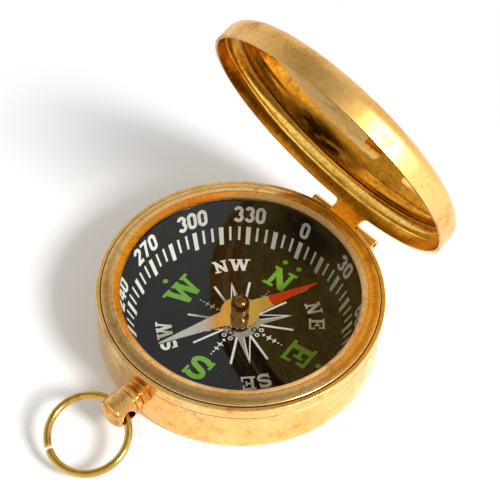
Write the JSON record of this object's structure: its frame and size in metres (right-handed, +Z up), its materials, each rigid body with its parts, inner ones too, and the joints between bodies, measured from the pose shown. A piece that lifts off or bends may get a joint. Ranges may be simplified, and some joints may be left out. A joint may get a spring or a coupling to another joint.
{
  "type": "pocket compass",
  "caption": "Round lidded brass pocket compass with a conical degree ring, a needle on a jewelled pivot and a hinged domed lid, carried by a split bow ring on a turned pendant.",
  "frame": {"origin": "middle of the flat base, on the surface that the case stands on", "axes": "+Z up through the needle's pivot, +Y to the lid hinge, -Y to the bow ring; the hinge axis runs along X"},
  "size_m": [0.0454, 0.067, 0.0527],
  "materials": {
    "case_brass": "satin, tumbled and lightly tarnished",
    "turned_brass": "turned, satin",
    "lid_brass": "satin outside, bright inside",
    "needle_brass": "thin sheet, red lacquer on the north arm",
    "glass": "clear, polished",
    "gasket": "matt",
    "printed_black": "satin black with white and green print",
    "steel": "turned",
    "jewel": "polished"
  },
  "bodies": {
    "case": {"case_cup": "case_brass", "case_collar": "case_brass", "bezel_ring": "turned_brass", "glass_crystal": "glass", "glass_gasket": "gasket", "degree_ring": "printed_black", "dial_disc": "printed_black", "dial_backing": "case_brass", "pivot_boss": "turned_brass", "pivot_pin": "steel", "case_knuckle_left": "case_brass", "case_knuckle_right": "case_brass", "hinge_pin": "steel", "pendant_washer": "turned_brass", "pendant_knob": "turned_brass", "pendant_stud": "steel", "pendant_nut": "steel"},
    "needle": {"needle": "needle_brass", "needle_cap": "turned_brass", "needle_jewel": "jewel"},
    "lid": {"lid_shell": "lid_brass", "lid_knuckle": "lid_brass"},
    "bow": {"bow_ring": "case_brass"}
  },
  "joints": [
    {"name": "lid_hinge", "type": "hinge", "parent": "case", "child": "lid", "pos_m": [0, 0.0234, 0.0083], "axis": [-1, 0, 0], "range_deg": [-67.2, 112.8]},
    {"name": "needle_spin", "type": "hinge", "parent": "case", "child": "needle", "pos_m": [0, 0, 0.0041], "axis": [0, 0, 1], "continuous": true},
    {"name": "bow_swing", "type": "hinge", "parent": "case", "child": "bow", "pos_m": [0.00166, -0.0264, 0.0054], "axis": [-0.998, -0.0628, 0], "range_deg": [-76, 116]}
  ]
}
